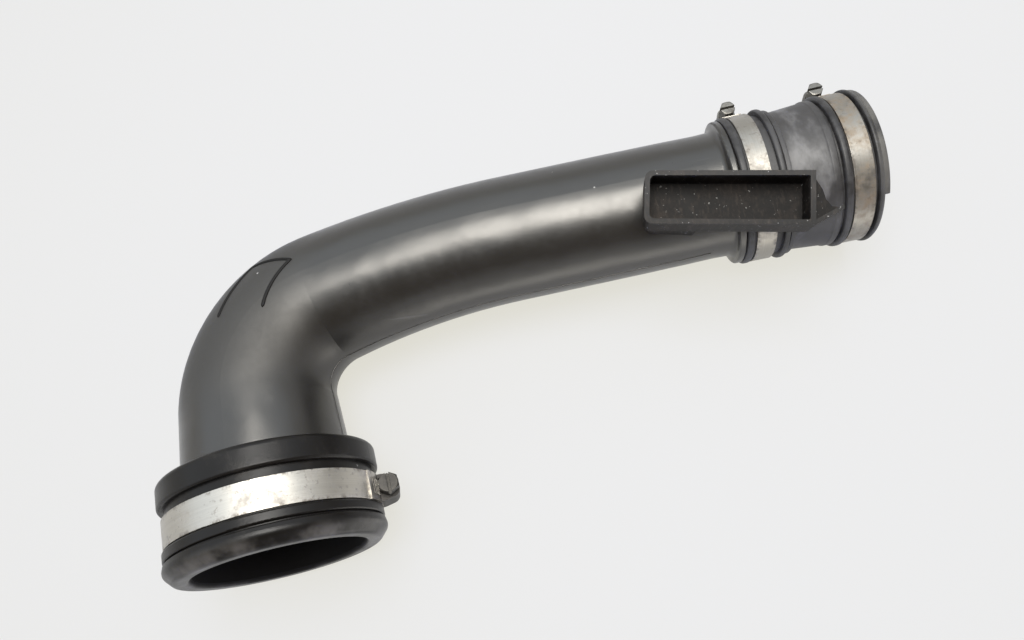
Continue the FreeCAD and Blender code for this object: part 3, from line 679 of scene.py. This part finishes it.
def rounded(corners, arc_steps=5):
    """Closed polyline through (z, r) corners, each turned on an arc of its radius: c + radius d(s)."""
    line = []
    for index, (z, r, radius) in enumerate(corners):
        point = np.array([z, r])
        if radius == 0:
            line.append(point)
            continue
        back = np.array(corners[index - 1][:2]) - point
        ahead = np.array(corners[(index + 1) % len(corners)][:2]) - point
        back, ahead = back / np.linalg.norm(back), ahead / np.linalg.norm(ahead)
        half = math.acos(np.clip(back @ ahead, -1, 1)) / 2
        middle = (back + ahead) / np.linalg.norm(back + ahead)
        centre = point + middle * radius / math.sin(half)
        start, stop = (point + way * radius / math.tan(half) - centre for way in (back, ahead))
        for share in np.linspace(0, 1, arc_steps):
            spoke = start * (1 - share) + stop * share
            line.append(centre + radius * spoke / np.linalg.norm(spoke))
    return np.array(line)


def turned(profile, angles, closed):
    """Points S(a, s) = (mouth - z(s), r(s) cos a, r(s) sin a) in the pipe's axes, and outward faces."""
    z, r = (profile * MM).T
    mouth = BEND_TO_SLEEVE + SLEEVE_INSET
    grid = np.stack([np.broadcast_to(mouth - z, (len(angles), len(z))),
                     np.cos(angles)[:, None] * r, np.sin(angles)[:, None] * r], axis=-1)
    points = grid.reshape(-1, 3) @ np.array(pipe_axes).T + np.array(bend_start)
    columns = len(z)
    rows = len(angles) if closed else len(angles) - 1
    row, column = np.meshgrid(np.arange(rows), np.arange(columns), indexing="ij")
    beyond, beside = (row + 1) % len(angles), (column + 1) % columns
    faces = np.stack([row * columns + column, row * columns + beside,
                      beyond * columns + beside, beyond * columns + column], axis=-1).reshape(-1, 4)
    first, second, third = (points[faces[:, k]] for k in range(3))
    if np.einsum("ij,ij->", np.cross(first, second), third) < 0:
        faces = faces[:, ::-1]
    return points, faces.tolist()


# %% Sleeve and its half ring
RING_ROOT, RING_RISE, RING_OUTER, RING_INNER = 1.0, 1.9, 31.6, 28.4
RING_START, RING_SWEEP = -36.0, 180.0
WALL_STEPS, RING_STEPS, SHARP_ANGLE = 144, 72, math.radians(40)
around = np.linspace(0, 2 * math.pi, WALL_STEPS, endpoint=False)
wall_points, wall_faces = turned(rounded(outside + inside), around, True)
ring_profile = rounded([(MOUTH + RING_ROOT, RING_INNER, 0), (MOUTH + RING_ROOT, RING_OUTER, 0),
                        (MOUTH - RING_RISE, RING_OUTER, 0.7), (MOUTH - RING_RISE, RING_INNER, 0.7)])
ring_angles = np.radians(np.linspace(RING_START, RING_START + RING_SWEEP, RING_STEPS))
ring_points, ring_faces = turned(ring_profile, ring_angles, False)
edge = len(ring_profile)
ring_faces += [list(range(edge)), list(range(len(ring_points) - edge, len(ring_points)))[::-1]]
mesh = bpy.data.meshes.new("sleeve_skin")
shifted = [[index + len(wall_points) for index in face] for face in ring_faces]
mesh.from_pydata(np.concatenate([wall_points, ring_points]).tolist(), [], wall_faces + shifted)
mesh.polygons.foreach_set("use_smooth", [True] * len(mesh.polygons))
mesh.set_sharp_from_angle(angle=SHARP_ANGLE)
sleeve_skin = bpy.data.objects.new("sleeve_skin", mesh)
bpy.context.scene.collection.objects.link(sleeve_skin)
mesh.materials.append(finishes["narrow_sleeve"])
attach(sleeve_skin, "root")
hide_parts("narrow_sleeve")
print("sleeve", len(mesh.polygons), "faces")

# %% [markdown]
# ## The table
# The photograph is bright and almost without shadow, on a pale ground. The table is a board that
# curves up all round, so that every view has the same pale ground behind it. A share of its look
# is light of its own, seen by the camera and in reflections, and the rest takes a faint shadow.

# %% Table
TABLE_CREAM = (0.822, 0.803, 0.716)
TABLE_WHITE = (0.55, 0.62, 0.95)
FIBRE_SHADE = 0.97
TABLE_INNER = 0.6       # one flat face fills the middle
TABLE_RADIUS = 2.6      # of the flat part
COVE_RADIUS = 0.5       # the board then curves up
COVE_TOP = 1.1
COVE_STEPS, TABLE_STEPS = 13, 96
TABLE_GLOW = 0.88       # share of the table's look that stays pale in shade


def table_sheet():
    """Turned sheet S(a, s) = (r(s) cos a, r(s) sin a, z(s)): a flat disc, a quarter arc and a low wall."""
    arc = np.linspace(0, math.pi / 2, COVE_STEPS)
    wall = TABLE_RADIUS + COVE_RADIUS
    r = np.concatenate([[TABLE_INNER], TABLE_RADIUS + COVE_RADIUS * np.sin(arc), [wall]])
    z = np.concatenate([[0.0], COVE_RADIUS * (1 - np.cos(arc)), [COVE_TOP]])
    angles = np.linspace(0, 2 * math.pi, TABLE_STEPS, endpoint=False)
    points = np.stack([np.cos(angles) * r[:, None], np.sin(angles) * r[:, None],
                       np.broadcast_to(z[:, None], (len(z), len(angles)))], axis=-1).reshape(-1, 3)
    ring, step = np.meshgrid(np.arange(len(r) - 1), np.arange(len(angles)), indexing="ij")
    beside = (step + 1) % len(angles)
    faces = np.stack([ring, ring + 1, ring + 1, ring], axis=-1) * len(angles)
    faces = (faces + np.stack([step, step, beside, beside], axis=-1)).reshape(-1, 4)
    mesh = bpy.data.meshes.new("table")
    mesh.from_pydata(points.tolist(), [], faces.tolist() + [list(range(len(angles)))])
    mesh.polygons.foreach_set("use_smooth", [True] * len(mesh.polygons))
    table = bpy.data.objects.new("table", mesh)
    bpy.context.scene.collection.objects.link(table)
    return table


def table_finish():
    """Pale matt board, partly self-lit for the camera and for reflections, so that shadows stay faint."""
    material, graph, shader, place = start_material("table_board")
    fibre = graph.noise(place, 900.0, 3.0)
    join(graph, shader, Base_Color=graph.mix(fibre, TABLE_WHITE, tone(FIBRE_SHADE, TABLE_WHITE)))
    fix(shader, Roughness=0.9, Specular_IOR_Level=0.1)
    path = graph.add("ShaderNodeLightPath").outputs
    seen = graph.math("MAXIMUM", path["Is Camera Ray"], path["Is Glossy Ray"])
    glow = graph.add("ShaderNodeEmission", {"Color": (*TABLE_CREAM, 1.0), "Strength": 1.0})
    share = graph.math("MULTIPLY", seen, TABLE_GLOW)
    both = graph.add("ShaderNodeMixShader", {0: share, 1: shader.outputs[0], 2: glow.outputs[0]})
    output = next(node for node in graph.tree.nodes if node.type == "OUTPUT_MATERIAL")
    graph.tree.links.new(both.outputs[0], output.inputs[0])
    return material


table = table_sheet()
table.data.materials.append(table_finish())
print("table laid")

# %% [markdown]
# ## The light
# A soft window light from above draws the long highlight, and a card laid on the table in front lifts
# the underside of the pipe. The room does the rest: it is bright and cool on the far side, and dim and
# warm on the near side, which gives the dark stripe along the pipe.

# %% Light
LAMP_AIM = Vector((0.0, 0.0, 0.03))
WINDOW_PLACE = Vector((0.055, 0.12, 0.70))
WINDOW_SIZE, WINDOW_POWER, WINDOW_WHITE = 0.38, 6.6, (1.0, 0.97, 0.915)
CARD_OUT, CARD_ALONG, CARD_HEIGHT = 0.23, 0.13, 0.004      # from the middle of the table
CARD_WIDE, CARD_TALL, CARD_POWER, CARD_WHITE = 0.36, 0.32, 0.66, (1.0, 0.97, 0.90)
ROOM_BRIGHT = (0.92, 1.0, 1.09)
ROOM_DARK = (0.11, 0.085, 0.06)
ROOM_SIDE = Vector((-0.45, 0.85, 0.25)).normalized()
ROOM_FADE = (-0.30, 0.35)
ROOM_LEVEL = 1.5


def soft_box(name, place, aim, wide, tall, power, colour):
    """Flat lamp at a place, turned to face a point."""
    lamp = bpy.data.lights.new(name, "AREA")
    lamp.shape = "RECTANGLE"
    lamp.size = wide
    lamp.size_y = tall
    lamp.energy = power
    lamp.color = colour
    holder = bpy.data.objects.new(name, lamp)
    holder.location = place
    holder.visible_camera = False
    holder.rotation_euler = (Vector(aim) - Vector(place)).to_track_quat("-Z", "Y").to_euler()
    bpy.context.scene.collection.objects.link(holder)


flat = Vector((1.0, 1.0, 0.0))
overhead = Vector((0.0, 0.0, 1.0))
near_side = (-pipe_axes.col[1] * flat).normalized()
along_run = (run_axis * flat).normalized()
card_place = near_side * CARD_OUT + along_run * CARD_ALONG + overhead * CARD_HEIGHT
soft_box("window_light", WINDOW_PLACE, LAMP_AIM, WINDOW_SIZE, WINDOW_SIZE, WINDOW_POWER, WINDOW_WHITE)
soft_box("light_card", card_place, card_place + overhead, CARD_WIDE, CARD_TALL, CARD_POWER, CARD_WHITE)


def room_world():
    """Sky that is bright and cool on one side and dim and warm on the other, by the ray's direction."""
    world = bpy.data.worlds.new("room")
    world.use_nodes = True
    graph = Graph(world.node_tree)
    ray = graph.add("ShaderNodeTexCoord").outputs["Generated"]
    facing = graph.add("ShaderNodeVectorMath", {0: ray, 1: ROOM_SIDE}, operation="DOT_PRODUCT")
    colour = graph.mix(graph.ramp(facing.outputs["Value"], *ROOM_FADE), ROOM_DARK, ROOM_BRIGHT)
    sky = world.node_tree.nodes["Background"]
    graph.tree.links.new(colour, sky.inputs["Color"])
    sky.inputs["Strength"].default_value = ROOM_LEVEL
    return world


bpy.context.scene.world = room_world()

# %% [markdown]
# ## The camera
# The hose is seen steeply from a short distance, with a wide lens. The camera is given by its place,
# its line of sight and the direction that lies level in the picture, all in the pipe's own axes.

# %% Camera
CAMERA_PLACE = Vector((0.02895, -0.15653, 0.28603))    # along the run, across it and up, from the bend
CAMERA_SIGHT = Vector((-0.1101, 0.3780, -0.9192))
PICTURE_RIGHT = Vector((0.9743, -0.1418, -0.1750))
PICTURE_WIDTH = 1024.0
FOCAL_PIXELS = 718.8


def add_camera():
    """Pinhole camera whose axes are the level direction, the one square to it, and the line of sight."""
    sight = (pipe_axes @ CAMERA_SIGHT).normalized()
    level = pipe_axes @ PICTURE_RIGHT
    right = (level - sight * level.dot(sight)).normalized()
    upward = right.cross(sight)
    lens = bpy.data.cameras.new("camera")
    lens.lens = FOCAL_PIXELS / PICTURE_WIDTH * lens.sensor_width
    camera = bpy.data.objects.new("camera", lens)
    turn = Matrix((right, upward, -sight)).transposed().to_4x4()
    camera.matrix_world = Matrix.Translation(bend_start + pipe_axes @ CAMERA_PLACE) @ turn
    lens.clip_start = 0.01
    bpy.context.scene.collection.objects.link(camera)
    bpy.context.scene.camera = camera
    return camera


camera = add_camera()
bpy.context.scene.view_settings.view_transform = "Standard"
print("camera lens", round(camera.data.lens, 2))
